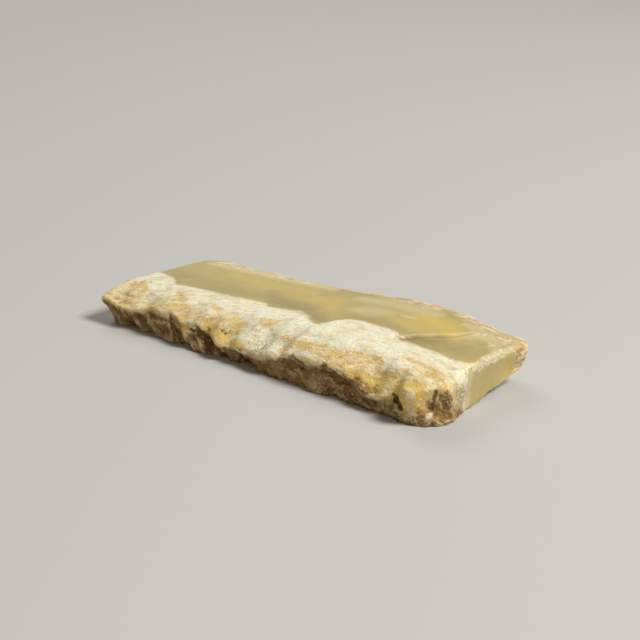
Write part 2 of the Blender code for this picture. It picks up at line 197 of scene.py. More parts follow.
@dataclass(frozen=True)
class FibreLie:
    """Which way the fibres run, as turns in degrees at places along the slice."""

    on_top: Line = (
        (-39, 40), (-28, 32), (-10, 30), (0, 26), (5, 18), (10, 3), (20, -4), (30, -13), (39, -20),
    )
    on_wall: Line = (
        (-39, -56), (-25, -48), (-14, -36), (0, -26), (12, -14), (28, -18), (36, -28), (60, -28),
    )
    corner: float = 15.5

    STRIDE = 0.25
    STEPS = np.arange(-45, 75, STRIDE)

    def _drift(self, turns: Line, along: Array) -> Array:
        """How far a fibre with these turns has strayed sideways at each place along it, in millimetres."""
        slopes = np.tan(np.radians(np.interp(self.STEPS, *zip(*turns))))
        return np.interp(along, self.STEPS, np.cumsum(slopes) * self.STRIDE)

    def top_places(self, places: Array) -> Array:
        """Places along, across and through the fibres of the top, in millimetres."""
        x, y, z = places.T
        return np.stack((x, y - self._drift(self.on_top, x), z), axis=-1)

    def wall_places(self, places: Array) -> Array:
        """Follows the fibres of the near wall and of the end round its corner.

        Args:
            places: Points of the stone in millimetres.

        Returns:
            Places along, across and through the fibres. Fibres are half as long on the left.
        """
        x, y, z = places.T
        round_corner = x + y + self.corner
        along = round_corner + np.minimum(round_corner, 0)
        return np.stack((along, z - self._drift(self.on_wall, round_corner), 0.3 * (x - y)), axis=-1)


class Side(Enum):
    """The side of the stone that a mark is drawn on, with the axes that its points give."""

    TOP = (0, 1)
    WALL = (0, 2)
    END = (1, 2)
    ANY = (0, 1, 2)


class Tint(Enum):
    """What is kept at every point: a share of each colour, the way into the opal, and how proud it is."""

    CHALK = "chalk"
    GOLD = "gold"
    GREY = "grey"
    PALE = "pale"
    TAN = "tan"
    BROWN = "brown"
    RIND = "rind"
    SUGAR = "sugar"
    WALL = "wall"
    CAVITY = "cavity"
    BAND = "band"


@dataclass(frozen=True)
class Mark:
    """A soft stroke of one tint along a line on one side of the stone."""

    side: Side
    tint: Tint
    line: Line
    half_width: float
    strength: float = 1.0
    ragged: float = 0.5
    pointed: float = 0.4

    CLOUD_UP_TO = 0.25
    CLOUD_EDGE = (0, 1.7)
    STROKE_EDGE = (0.45, 1.25)
    LEAST_FRAY = 0.35

    def share(self, places: Array, facing: Array, wander: Array) -> Array:
        """How much of the stroke lies on each point.

        Args:
            places: Points of the stone in millimetres.
            facing: How far each point faces the stroke's side, from 0 to 1.
            wander: A noise that frays the edges.

        Returns:
            A share for each point, from 0 up to the strength.
        """
        gap, along = to_line(places[:, self.side.value], self.line)
        fray = np.maximum(1 + self.ragged * wander, self.LEAST_FRAY)
        gap *= fray / (1 - self.pointed * (2 * along - 1) ** 2)
        core, reach = self.STROKE_EDGE if self.ragged > self.CLOUD_UP_TO else self.CLOUD_EDGE
        outside = rise(gap, core * self.half_width, reach * self.half_width)
        return self.strength * facing * (1 - outside)


def strokes(side: Side, tint: Tint, *rows: tuple) -> list[Mark]:
    """Marks of one tint, from rows of a line, a half width and, where they differ, the rest of a mark."""
    return [Mark(side, tint, *row) for row in rows]


# The stone's marks, in the order that they are laid in; most are its own colours, and those noted below are
# painted shade or painted light
STONE_MARKS = (
    # Tan and gold on the sloping band and the honey lump, and gold clouds in the opal
    *strokes(Side.TOP, Tint.TAN, (((-34.5, -10.8), (-31, -11.6)), 1.8),
        (((-37, -15.4), (-34.6, -15.8)), 1.3), (((-35.6, -13.4), (-32.6, -14.4)), 1.2, 0.7),
        (((-14, -10.6), (-9, -10.6), (-5.5, -10.9)), 1.2, 0.6), (((-24.6, -11.8), (-21.6, -11)), 1.6),
        (((-24, -13.4), (-18, -13)), 1.6, 0.8), (((-18, -10.4), (-12, -10.2)), 0.7, 0.8),
        (((-14, -12.8), (-6, -12.2)), 1.6, 0.9), (((-12, -14.6), (-5.5, -14.6)), 1.4),
        (((3.2, -11.2), (5.8, -10.8)), 0.8, 0.9), (((6.9, -12.2), (9.9, -12), (12.5, -11.3)), 1),
        (((12.6, -13), (17, -12.8), (20.6, -13)), 1.9, 0.9),
        (((16.4, -12), (18, -10.9), (20.3, -11.2), (22.4, -10.6), (23.6, -11.2)), 1.5),
        (((21, -14.4), (29, -12.8)), 2.1), (((27.5, -8.2), (33, -9), (37, -11)), 1.1, 0.9),
        (((33, -10), (37, -12)), 1.5)),
    *strokes(Side.ANY, Tint.TAN, (((-36, -15, 4.8), (-33.3, -15, 4.4), (-30.9, -14.9, 4.5)), 1.2, 1.3, 0.6),
        (((-28.3, -13.7, 5), (-26.8, -14.4, 4.4), (-24.9, -14.7, 5)), 1.4)),
    *strokes(Side.TOP, Tint.GOLD, (((-22.4, -11), (-20.8, -10.8)), 0.8, 0.6),
        (((-3.4, -9.6), (-0.8, -9)), 1.2, 0.8), (((7.5, -12.2), (12.5, -11.5), (16, -11.6)), 0.7, 0.7),
        (((22, -14), (28, -13)), 1.5), (((-24, 3.6), (-14, 3.2), (-6, 4.6), (0, 5)), 2.8, 0.35, 0, 0.7),
        (((-6, 2.6), (0.6, 5), (2.4, 1.4)), 2.6, 0.5, 0),
        (((16.8, 9.2), (22.9, 7.4), (25.4, 6.4)), 3, 1, 0), (((15, 5), (22, 4.6)), 2.4, 0.6, 0)),
    *strokes(Side.ANY, Tint.GOLD, (((-19.3, -13.8, 5.2), (-17.4, -14.3, 4.9)), 0.9, 0.9),
        (((-12, -13.6, 5), (-10, -14.4, 4.1), (-4.7, -14.8, 3.7), (-2.9, -14.9, 3.6)), 1.3),
        (((20.4, -14.2, 5.3), (22.5, -14.2, 4.8), (24.5, -14.2, 4), (27.2, -14.6, 3.7)), 1.3),
        (((30.2, -13.2, 5), (32.2, -13.8, 4.8), (34.4, -14.2, 4.6)), 2.6, 1.7),
        (((31, -13.8, 4.6), (33.6, -14, 6), (35.2, -13.8, 5.2)), 1.5),
        (((30.8, -13.9, 3.8), (32.2, -14.1, 3.2), (34.2, -14.2, 3)), 1.6, 1.6)),
    # Chalk that covers what is laid before it
    *strokes(Side.ANY, Tint.CHALK, (((-29.3, -14.3, 4.7), (-28.9, -14.3, 3.8)), 0.8),
        (((-16.2, -14.2, 4.7), (-15.3, -14.2, 3.9)), 0.7, 0.9),
        (((-3.2, -13.6, 4.8), (-0.4, -15, 3.5), (3, -14.7, 3.9), (5, -14.7, 4.4)), 1.1),
        (((36, -13.7, 1.8), (35.7, -14, 1.4)), 0.55, 0.5), (((9.6, -14, 5.6), (11, -13.8, 5.7)), 0.8)),
    # What chalk leaves as it is, and the near wall's and the end's own tan and gold, with the strokes of
    # painted shade and painted light noted among them
    *strokes(Side.ANY, Tint.BROWN, (((-9.2, -13.4, 4.8), (-9, -13.6, 4.7)), 0.26),
        (((-8.4, -13.5, 4.5), (-8.2, -13.7, 4.3)), 0.24), (((-7.8, -12.9, 4.8), (-7.7, -13.3, 4.5)), 0.24),
        (((-7.2, -13.7, 4.3), (-6.1, -14, 4.1)), 0.18, 0.9),
        (((15.6, -13.4, 5.8), (16.9, -12.1, 6.3)), 0.2, 0.6),
        (((-25.6, -14.7, 4), (-22.1, -14.8, 3.8)), 0.6, 0.6, 0.9),
        (((-21.4, -14.4, 4.9), (-20.9, -14.5, 4.1)), 0.38, 0.9),
        (((-20.3, -14.8, 2.2), (-19.8, -14.7, 0.6)), 0.4, 0.8),
        (((-15, -14.1, 4.6), (-14.5, -14.1, 4)), 0.38),
        (((-14.4, -13.9, 3.3), (-12.4, -13.8, 2.2), (-11.4, -13.7, 1.7)), 0.6, 0.8, 0.9),
        (((-12.2, -14, 4.6), (-11.8, -14, 4.1)), 0.28), (((-3.8, -15, 3.1), (-3, -15.1, 3)), 0.5, 0.7),
        (((-4.8, -14, 1.2), (-4.8, -13.7, 0.2)), 0.5, 0.9),
        (((7.9, -14.5, 5.3), (8.9, -14.4, 4.5), (10.6, -14.3, 4)), 0.32, 0.8),
        # Partly dark brown stone and partly painted shade: the broad dark bands under the right lip and the
        # hole beside the honey lump are darkened where the overhang keeps the light off
        (((14.2, -14.5, 4.4), (16.4, -14.3, 3.9), (18, -14.3, 3.5), (20, -14.3, 3.3)), 0.8, 0.8, 1),
        (((20.6, -14.6, 4.2), (22.4, -14.6, 3.2), (24.5, -15.3, 2.9)), 0.5, 0.8, 0.9),
        (((21.6, -14.3, 4.3), (24.2, -14.4, 4), (26.4, -14.5, 3.5)), 1, 0.62, 1),
        (((29.1, -14, 3.8), (30, -14.1, 2.9), (31.4, -14.3, 1.8)), 0.64, 2.2, 0.3, 0.75),
        (((29.3, -14, 3.3), (29.8, -14.1, 2.5)), 0.6, 2, 0.3, 0.6),
        (((36.5, -13, 5.8), (36.2, -13.1, 4), (36, -13.2, 2.4)), 0.5, 0.9),
        (((37.4, -11.8, 4), (37.4, -11, 2.6), (37, -11, 1.6)), 0.9, 0.8),
        (((36.4, -12.4, 1), (37.2, -11.2, 1.6), (37.4, -10.2, 1.2)), 0.7, 0.7, 1)),
    *strokes(Side.ANY, Tint.PALE,
        (((18.5, -14.4, 5.2), (19.8, -13.5, 5.8), (21.5, -12.1, 6.3), (23, -11.8, 6.4)), 0.26, 0.9, 0.2),
        (((18.2, -11, 6.5), (19.6, -11.6, 6.4), (21.4, -11.2, 6.6)), 0.2, 0.8, 0.2),
        (((13.2, -14.2, 5.4), (15.2, -14.3, 5), (17.7, -14.5, 4.9)), 0.3, 0.8, 0.6),
        (((35.4, -12.7, 7), (36, -13.5, 5.4), (35.5, -13.5, 2.8)), 0.26, 1, 0.3),
        (((28.8, -12.8, 5.8), (30.2, -12.7, 6.5), (32, -12.6, 6.9), (35.2, -12.3, 7.1)), 0.34, 1, 0.8),
        # Painted light: a pale wash in the groove between the gold ledge and the honey lump lifts the shade
        # there
        (((27.2, -13.2, 5.4), (28.6, -13.6, 4.6)), 0.9, 0.5),
        (((8.7, -14.7, 2.9), (10.1, -14.5, 2.3), (10.5, -14.6, 1.3)), 0.16, 0.8, 0.2),
        (((-16.4, -15.1, 3.3), (-14.6, -14.4, 3.1)), 0.3, 0.8),
        (((36.9, -12.5, 5.2), (36.9, -12.6, 4.2)), 0.22, 0.8),
        (((36.3, -3.4, 7), (36.3, 1.4, 6.9), (36.2, 4.1, 7.1), (36.2, 7.4, 7.2)), 1, 1, 0.6)),
    *strokes(Side.TOP, Tint.GREY, (((-32, -3.4), (-20, -4), (-12, -2.6)), 3, 0.5, 0),
        (((-11, 1), (-8, -2), (0, -1.4), (5, -4)), 2.4, 0.9, 0),
        (((8, 1.6), (16, 2.2), (19, 0.6)), 1.6, 0.5, 0),
        # In the scoop the grey is partly the flake scar's own greyer opal and partly a painted reflection of
        # dark surroundings
        (((20.8, -0.4), (23.2, 0.4), (25.4, 3.2)), 2.6, 1, 0), (((24, 1), (31, 0)), 3.2, 0.5, 0)),
    *strokes(Side.TOP, Tint.PALE, (((-35.9, -4.5), (-34.6, 2), (-33.2, 7.6)), 0.8, 0.8, 0, 0),
        (((3, 9), (9, 10.6), (18, 11.4)), 2.2, 0.7, 0), (((6, 4), (11, 6.6)), 2.6, 0.6, 0),
        (((13.4, 7.2), (16.4, 7.3)), 0.6, 0.8, 0.3),
        (((-31, 5.4), (-25, 6.6), (-14, 8.4), (-4, 9.8)), 1.7, 0.9, 0.2),
        (((24.9, 10.7), (29, 9.4), (33, 7.6), (35.6, 4)), 1.8, 0.7),
        # Painted highlight: the thin pale line along the scoop's ridge stands for its edge catching the light
        (((19.7, -0.5), (21.1, 1.4), (22.3, 2.6), (23.9, 4.2), (25.8, 5.8), (27.2, 8)), 0.2, 0.7, 0, 0)),
    *strokes(Side.TOP, Tint.RIND, (((-33, 7), (-29, 7.6), (-25, 8.2)), 1.3, 0.8),
        (((-30, 7.2), (-20, 8.2), (-8, 9.6)), 1.1, 0.6), (((4, 12.2), (11.4, 13.5), (18, 13)), 0.9, 0.7),
        (((21, 13.4), (27, 11.7), (33, 10.6)), 1.3, 0.9),
        (((31.5, 10.2), (34.5, 9), (36.6, 7.8)), 1.9, 0.8, 1, 0.2)),
    # Painted shade: the dark strip just under the scoop's ridge, laid in the opal's shade colour
    *strokes(Side.TOP, Tint.BROWN, (((20.2, -0.7), (22.2, 0.4), (24.4, 1.6)), 1.6, 0.62, 0, 0.6)),
    *strokes(Side.ANY, Tint.SUGAR, (((9.6, -14, 5.6), (11.2, -13.8, 5.7)), 1.1),
        (((-4.2, -11.6, 5.8), (-1.6, -13.2, 4.8), (2, -13.4, 4.8)), 1.6, 0.9),
        (((13.5, -14.7, 2.7), (15.4, -14.8, 1), (22, -14.6, 1.2)), 1.5, 0.8),
        (((26, -14.7, 1.2), (30.7, -14.6, 1.3), (34, -14.9, 1)), 1.3, 0.8),
        (((37.5, -11.9, 5.6), (37.3, -11.2, 3.4), (37, -10.6, 1.2)), 1.3, 0.9),
        (((37.7, -8.8, 5.2), (36.6, -5.6, 2.6)), 2.4),
        (((36.3, -3.4, 6.9), (36.3, 1.4, 6.8), (36.2, 4.1, 7), (36.2, 6.4, 7.2)), 1.2),
        (((36.6, 7.6, 7.2), (36.8, 8.8, 6), (36.5, 9.2, 3.6)), 1.4, 0.7, 1)),
    *strokes(Side.ANY, Tint.GREY, (((-28.4, -14.5, 0.9), (-27.2, -13.9, 0.4)), 0.7, 0.7),
        (((-25, -14.7, 1.6), (-23.7, -14.7, 0.4)), 0.9, 0.6),
        (((-18.6, -13.9, 1.1), (-15.2, -15, 1.4), (-12.8, -15, 1.4)), 0.8),
        (((-7.2, -15, 1.8), (-6.6, -14.3, 0.6)), 0.9, 0.7),
        (((4, -14.9, 2.4), (6.8, -14.6, 1.6)), 1.3, 0.9),
        (((13.6, -14.8, 2.4), (15.4, -14.8, 0.8), (18, -14.6, 1.6)), 1.4, 0.6),
        (((26, -14.7, 1.2), (33.8, -14.9, 1)), 1.2, 0.9),
        (((-1, -15.1, 3.1), (2, -15, 3.5), (4.6, -14.9, 3.8)), 1.1, 0.8, 0.8),
        (((37.3, -10.8, 3.8), (37, -10.2, 1)), 1.2, 0.5), (((37.7, -9.6, 4.5), (36.7, -6, 2.6)), 2.9),
        (((36.6, 8.3, 7.5), (36.7, 8.4, 7.4)), 0.4, 0.9)),
    *strokes(Side.ANY, Tint.GOLD, (((-18.2, -15, 3.9), (-15.6, -15.1, 3.3)), 0.7, 0.8),
        (((-11.2, -13.6, 1.8), (-9.8, -13.8, 0.9)), 0.6, 0.6),
        (((-0.2, -14.8, 2.1), (1, -14.7, 1.1)), 0.7, 0.5),
        (((9.4, -14.8, 2.1), (10.2, -14.6, 1.4), (11.2, -14.7, 0.8)), 0.7, 0.6),
        (((36.6, -12.8, 5.6), (36.3, -12.9, 3.4)), 0.4, 0.9)),
    *strokes(Side.ANY, Tint.TAN, (((-13, -13.9, 4.3), (-10.6, -14.1, 4), (-8.4, -14.4, 3.6)), 1.1, 1.3, 1),
        (((17, -14.6, 4.8), (20, -14.7, 4.6), (23, -14.6, 3.9), (26, -14.6, 3.3), (28.4, -14.5, 3)),
        0.8, 1.2, 0.8, 0.1), (((35.7, -11.4, 7), (37.2, -11.2, 6.6)), 0.9)),
    *strokes(Side.WALL, Tint.PALE, (((21.5, 3.9), (23.6, 3.3), (25.8, 1.9)), 0.18, 0.9, 0.2),
        (((20, 4.7), (21.6, 3.2), (23.4, 1.9), (25.2, 1.2)), 0.18, 0.8, 0.2),
        (((22.6, 4.3), (25, 3.7), (27, 2.6)), 0.16, 0.8, 0.2),
        (((15, 3.2), (16.8, 2.9), (18.6, 1.8)), 0.16, 0.6, 0.2)),
    # Painted shade: grey darkens the foot of the end, where it meets the floor
    *strokes(Side.END, Tint.GREY, (((-4, 0.4), (7, 1.2)), 2, 0.6, 0.1)),
    *strokes(Side.END, Tint.PALE, (((-4.2, 6.4), (-4.4, 3.6), (-4.6, 0.8)), 1.1, 0.5, 0, 0)),
    *strokes(Side.END, Tint.GOLD, (((6, 6), (6.8, 4.4), (7.4, 2.6)), 1.6, 0.4, 0, 0)),
    *strokes(Side.ANY, Tint.RIND, (((36.9, 9, 6.8), (36.6, 9.2, 4.6), (36.4, 9.8, 3.2)), 1.5, 0.9, 1)),
)


@dataclass
class StoneMesh:
    """The stone's fine mesh, read and written in millimetres."""

    mesh: bpy.types.Mesh

    @classmethod
    def from_solid(cls, grain: float) -> "StoneMesh":
        """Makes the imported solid's shape in small even cells.

        Args:
            grain: The width of a cell in millimetres.

        Returns:
            The new mesh.
        """
        blank = bpy.data.objects.new("stone_blank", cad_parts[NODE].data.copy())
        bpy.context.scene.collection.objects.link(blank)
        cells = blank.modifiers.new("cells", "REMESH")
        cells.mode = "VOXEL"
        cells.voxel_size = grain * MM
        cells.adaptivity = 0
        graph = bpy.context.evaluated_depsgraph_get()
        mesh = bpy.data.meshes.new_from_object(blank.evaluated_get(graph))
        bpy.data.objects.remove(blank)
        mesh.name = "opal_slice_stone"
        return cls(mesh)

    @staticmethod
    def _read(items: bpy.types.bpy_prop_collection, name: str) -> Array:
        """Three numbers for each item of a mesh.

        Args:
            items: The items.
            name: What is read.

        Returns:
            One row for each item.
        """
        flat = np.empty(len(items) * 3)
        items.foreach_get(name, flat)
        return flat.reshape(-1, 3)

    def places(self) -> Array:
        """The mesh's points in millimetres."""
        return self._read(self.mesh.vertices, "co") / MM

    def normals(self) -> Array:
        """The direction out of the stone at each point."""
        return self._read(self.mesh.vertex_normals, "vector")

    def move_to(self, places: Array) -> None:
        """Moves the mesh's points to places in millimetres."""
        self.mesh.vertices.foreach_set("co", (places * MM).ravel())
        self.mesh.update()

    def keep(self, name: str, values: Array) -> None:
        """Keeps a number or a place for each point under a name that the finish reads."""
        kind, key = ("FLOAT", "value") if values.ndim == 1 else ("FLOAT_VECTOR", "vector")
        self.mesh.attributes.new(name, kind, "POINT").data.foreach_set(key, values.astype(np.float32).ravel())

    def cavity(self) -> Array:
        """How far each point stands proud of its neighbours.

        Returns:
            A value for each point, from -1 in a crevice to 1 on a crest.
        """
        count = len(self.mesh.vertices)
        ends = np.empty(len(self.mesh.edges) * 2, dtype=np.int64)
        self.mesh.edges.foreach_get("vertices", ends)
        degree = np.maximum(np.bincount(ends, minlength=count), 1)[:, None]
        first, second = ends.reshape(-1, 2).T
        places, normals = self.places(), self.normals()
        value = np.zeros(count)
        mean = places.copy()
        for _ in range(5):
            total = np.stack([
                np.bincount(first, weights=column[second], minlength=count)
                + np.bincount(second, weights=column[first], minlength=count)
                for column in mean.T
            ], axis=-1)
            mean = total / degree
            value += ((places - mean) * normals).sum(axis=-1)
        return np.clip(value * 2.2, -1, 1)


@dataclass
class OpalStone:
    """The whole slice as one stone, made finer than its solid and coloured zone by zone.

    Its lines are corners on the top, seen from above. The lip line gives the height at places along the slice
    where the lit slope turns into the near wall.
    """

    grain: float = 0.265
    top_level: float = 7.5
    sawn_under: float = 0.12
    chalk_line: Line = (
        (-39, -4.4), (-34, -4.8), (-30, -5.3), (-27, -7.8), (-25, -7.1), (-22, -6.4), (-19, -5.9),
        (-15, -5.3), (-12, -4.8), (-10, -4.4), (-8, -3.7), (-6.5, -5.3), (-4, -4.7), (-1, -3.1), (0, -3),
        (2, -4.1), (4, -5.5), (5.5, -6.2), (6.5, -4.4), (7, -2.1), (8.5, -0.5), (11, 0.2), (15, 0.4),
        (18, 0), (19.5, -0.7), (22, -1.2), (25, -2.3), (28, -2.8), (30, -3.4), (33, -3.7), (36, -2.8),
        (39, -2.6),
    )
    tan_line: Line = (
        (-39, -10), (-33, -9.4), (-29, -12.6), (-26, -11), (-22, -9.8), (-18, -10.8), (-12, -11.4),
        (-7, -12.2), (-5, -16.5), (3, -16.5), (4.5, -11.6), (10, -11.2), (15, -11), (17, -9.6), (22, -9.8),
        (24, -11.6), (28, -11.4), (31, -9.6), (35, -8.8), (39, -8.4),
    )
    far_edge: Line = (
        (-34, 8.2), (-25, 9), (-18, 9.8), (-8, 11.1), (-2, 11.8), (3, 13.6), (10, 15.3), (17, 15.9),
        (24, 14.2), (30, 12.6), (35, 12.2), (39, 9.6),
    )
    lip_line: Line = (
        (-38, 4.9), (-33, 4.7), (-30, 4.3), (-29, 3.9), (-26, 4.9), (-22, 5), (-20, 5.2), (-16, 4.8),
        (-12, 4.4), (-9, 3.7), (-6, 3.2), (-2, 2.8), (2, 3.8), (7, 4.4), (12, 4.7), (18, 4.7), (22, 4.1),
        (26, 3), (28.4, 2.6), (29.2, 2.8), (31, 1.6), (36, 1.6),
    )
    end_edge: Line = ((36.9, -6), (36.4, -2.9), (36.2, 1.4), (36.2, 4.1), (36.4, 6.4), (36.8, 8))
    worn_crest: Line = ((-35.9, -8.2), (-35.4, -10.2))
    scoop_ridge: Line = (
        (19.3, -0.9), (20.5, 0.8), (22, 2.3), (23.5, 3.8), (25, 5), (26, 6.2), (27.2, 8), (28, 9.2),
    )
    flakes: tuple[Line, ...] = (
        ((-2.2, 9.4), (0.6, 5.6), (2.8, 1.4), (5.6, -2)),
        ((-9.4, -3.6), (-8.8, -1), (-9, 2.4)),
        ((12.4, 7.6), (14.6, 7.2), (16.8, 7.8)),
        ((26.6, -1.6), (29, 2.6), (30.4, 7)),
        ((30.2, -2.8), (32.4, 2), (33.2, 6.4)),
    )
    scoop_depth: float = 0.62
    step_depth: float = 0.04
    wear: float = 0.45
    lie: FibreLie = FibreLie()
    marks: tuple[Mark, ...] = STONE_MARKS

    def build(self) -> bpy.types.Object:
        """Makes the stone, colours it and gives it its finish.

        Returns:
            The finished piece.
        """
        stone = StoneMesh.from_solid(self.grain)
        places, normals = stone.places(), stone.normals()
        shares = self._shares(places, normals)
        moved = places + normals * self._relief(places, normals, shares)[:, None]
        level = self._glassy(shares) * rise(normals[:, 2], 0.3, 0.55)
        moved[:, 2] += level * self._flat_gap(places)
        stone.move_to(self._kept_in_box(moved, places))
        shares[Tint.CAVITY] = stone.cavity()
        for tint, values in shares.items():
            stone.keep(tint.value, values)
        stone.keep("place", stone.places())
        stone.keep("top_fibre", self.lie.top_places(places))
        stone.keep("wall_fibre", self.lie.wall_places(places))
        stone.mesh.materials.clear()
        stone.mesh.materials.append(BandedOpalFinish().material())
        stone.mesh.shade_smooth()
        piece = bpy.data.objects.new("opal_slice_stone", stone.mesh)
        bpy.context.scene.collection.objects.link(piece)
        return piece

    @staticmethod
    def _glassy(shares: dict[Tint, Array]) -> Array:
        """How far each point is glassy opal, from 0 to 1."""
        return rise(shares[Tint.BAND], -0.5, 0.6) * (1 - shares[Tint.RIND])

    @staticmethod
    def _back_and_left(normals: Array) -> tuple[Array, Array]:
        """How far each point faces the back, and how far it faces the left."""
        return rise(normals[:, 1], 0.3, 0.7), rise(-normals[:, 0], 0.35, 0.7)

    def _shares(self, places: Array, normals: Array) -> dict[Tint, Array]:
        """Works out how much of each tint lies on each point.

        Args:
            places: Points of the stone in millimetres.
            normals: The direction out of the stone at each.

        Returns:
            A share for each point, for each tint.
        """
        x, y, z = places.T
        wisps = Crumble(1.3, 5).layered(self.lie.top_places(places) * (0.4, 1, 1))
        wander = Crumble(1.9, 9).layered(places)
        slow = Crumble(4, 13).layered(places * (0.5, 1, 1))
        upright = 1 - rise(normals[:, 2], 0.45, 0.75)
        back, left = self._back_and_left(normals)
        facing = {
            Side.TOP: rise(normals[:, 2], 0.25, 0.6),
            Side.WALL: rise(-normals[:, 1], 0.3, 0.65) * upright,
            Side.END: rise(normals[:, 0], 0.35, 0.7) * upright,
            Side.ANY: np.ones(len(places)),
        }
        sawn_end = facing[Side.END] * rise(y + 0.3 * wander, -5.6, -4.9)
        past = np.where(sawn_end > 0.5, 3, height_over(self.chalk_line, x, y) + 0.30 * wisps)
        shares = {tint: np.zeros(len(places)) for tint in Tint}
        shares[Tint.BAND] = np.clip(past, -3, 3)
        shares[Tint.CHALK] = (1 - rise(past, -0.3, 0.3)) * rise(z + 0.5 * wander, 2.6, 4.8)

        # The near wall below its lip, and the broken end where it is low or in the cleft
        over_lip = height_over(self.lip_line, x, z)
        low = 1 - rise(over_lip + 0.9 * wander, -1.7, 0.8)
        corner = rise(normals[:, 0], 0.3, 0.6) * (1 - sawn_end) * (y < 0)
        corner *= 1 - rise(normals[:, 2] + 0.3 * wander, 0.3, 0.8)
        near = 1.7 * rise(-y, 12.4, 13.2)
        shaded = 1 - rise(z + 0.35 * (y + 11) + 0.7 * wander + near, 2.2, 4.4)
        cleft = 1 - rise(np.abs(y + 11.9) + 0.3 * wander, 0.9, 2.3)
        cleft *= 1 - rise(z + 0.9 * wander, 5.2, 7)
        under_lip = rise(0.7 * wander - over_lip, 0.2, 1.4) * rise(-y, 12.6, 13.6)
        broken = np.maximum.reduce([facing[Side.WALL] * low, under_lip, corner * np.maximum(shaded, cleft)])
        shares[Tint.WALL] = np.clip(broken, 0, 1)

        # The rind along the far edge and down the back
        to_rim = 0.5 * wander + 0.5 * slow - height_over(self.far_edge, x, y)
        rim = 1.9 + 0.5 * rise(x, 5, 20) + 0.3 * rise(-x, 2, 14)
        shares[Tint.RIND] = np.maximum((1 - rise(to_rim, 0.1 * rim, rim)) * (y > 0), back)

        # Tan on the left end and on the near part of the slope
        left_tan = left * (0.35 + 0.5 * rise(wander, -0.2, 0.4)) * (1 - rise(y, -6, -2))
        below = 0.9 * slow + 0.7 * wander - height_over(self.tan_line, x, y)
        shares[Tint.TAN] = np.maximum(left_tan, 0.62 * rise(below, -0.6, 1.6))

        for mark in self.marks:
            share = mark.share(places, facing[mark.side], wander)
            shares[mark.tint] = np.maximum(shares[mark.tint], share)
            if mark.tint is Tint.CHALK:
                for covered in (Tint.WALL, Tint.TAN, Tint.GOLD):
                    shares[covered] *= 1 - share
        shares[Tint.SUGAR] = np.maximum(shares[Tint.SUGAR], 0.3 * shares[Tint.CHALK])
        return shares

    def _relief(self, places: Array, normals: Array, shares: dict[Tint, Array]) -> Array:
        """How far each point is pushed out or in, in millimetres.

        Args:
            places: Points of the stone in millimetres.
            normals: The direction out of the stone at each.
            shares: The tints at each.

        Returns:
            The push for each point.
        """
        wall, unbroken = shares[Tint.WALL], 1 - shares[Tint.WALL]
        back, left = self._back_and_left(normals)

        # Fibres on the chalk and the tan, and grains where it is sugary
        top_fibre = self.lie.top_places(places)
        fibres = Crumble(0.8, 21).creased(top_fibre * (0.25, 1, 0.8))
        streaks = Crumble(1.9, 25).creased(top_fibre * (0.16, 1, 0.6))
        lumps = Crumble(2.6, 23).layered(top_fibre * (0.6, 1, 1))
        grain, owner = Crumble(0.62, 29).chips(places)
        matted = np.maximum(shares[Tint.CHALK], 0.5 * shares[Tint.TAN] * unbroken) * unbroken
        push = matted * (0.07 * fibres + 0.05 * streaks + 0.03 * lumps)
        push += shares[Tint.SUGAR] * 0.18 * (0.5 - grain + 0.5 * (owner - 0.5))

        # Ribs and chips on the near wall, and the worn crest of the pointed end
        wall_fibre = self.lie.wall_places(places)
        folds = Crumble(3.9, 33).creased(wall_fibre * (0.42, 1, 0.7))
        ridges = Crumble(1.5, 31).creased(wall_fibre * (0.35, 1, 1))
        chip, owner = Crumble(2.6, 37).chips(wall_fibre * (0.5, 1, 1))
        lumpy = 0.10 - 0.36 * folds - 0.06 * ridges + 0.34 * (0.45 - chip) + 0.14 * (owner - 0.5)
        push += wall * (lumpy + 0.30 * rise(-places[:, 0], 16, 24))
        crest_gap, _ = to_line(places[:, :2], self.worn_crest)
        push -= self.wear * rise(normals[:, 2], 0.3, 0.7) * (1 - rise(crest_gap, 0.4, 3.2))
        push *= 1 - 0.6 * shares[Tint.GOLD]

        # The back, the left end, the rind, the dark hollows, and nothing on the opal or underneath
        push += np.maximum(back, left) * (0.16 * lumps + 0.16 * (0.45 - chip))
        push += shares[Tint.RIND] * 0.07 * fibres
        push -= shares[Tint.BROWN] * (0.12 + 0.20 * (1 - rise(normals[:, 2], 0.4, 0.8)))
        push *= 1 - self._glassy(shares) * unbroken
        under = rise(-normals[:, 2], 0.6, 0.85) * (places[:, 2] < 0.1)
        return push * (1 - under)

    def _flat_gap(self, places: Array) -> Array:
        """How far the glassy top lies above each point: a flat, with a crisp scoop and fainter steps.

        Args:
            places: Points of the stone in millimetres.

        Returns:
            The gap for each point, in millimetres.
        """
        x, y, z = places.T
        past = right_of(self.scoop_ridge, x, y)
        within = rise(y, -3.6, -1.6) * (1 - rise(y, 4.7, 9.7))
        cut = rise(past, 0, 0.35) * (1 - rise(past, 0.4, 11)) * within
        steps = np.zeros(len(places))
        for flake in self.flakes:
            gap, _ = to_line(places[:, :2], flake)
            steps += rise(right_of(flake, x, y), 0, 0.3) * (1 - rise(gap, 0.4, 3.2))
        worn = rise(right_of(self.end_edge, x, y), -1.1, 0.2) ** 2
        swell = 0.02 * Crumble(4, 41).soft(places * (0.4, 1, 1))
        level = self.top_level - self.scoop_depth * cut - self.step_depth * steps - self.wear * worn + swell
        return np.clip(level - z, -0.7, 0.7)

    def _kept_in_box(self, moved: Array, places: Array) -> Array:
        """Holds the points inside the solid's box, and those of the sawn underside on its plane.

        Args:
            moved: The new places in millimetres.
            places: The old ones.

        Returns:
            The places to use.
        """
        low, high = (np.array(corner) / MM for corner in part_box(NODE))
        kept = np.clip(moved, low, high)
        kept[places[:, 2] < self.sawn_under, 2] = 0
        return kept


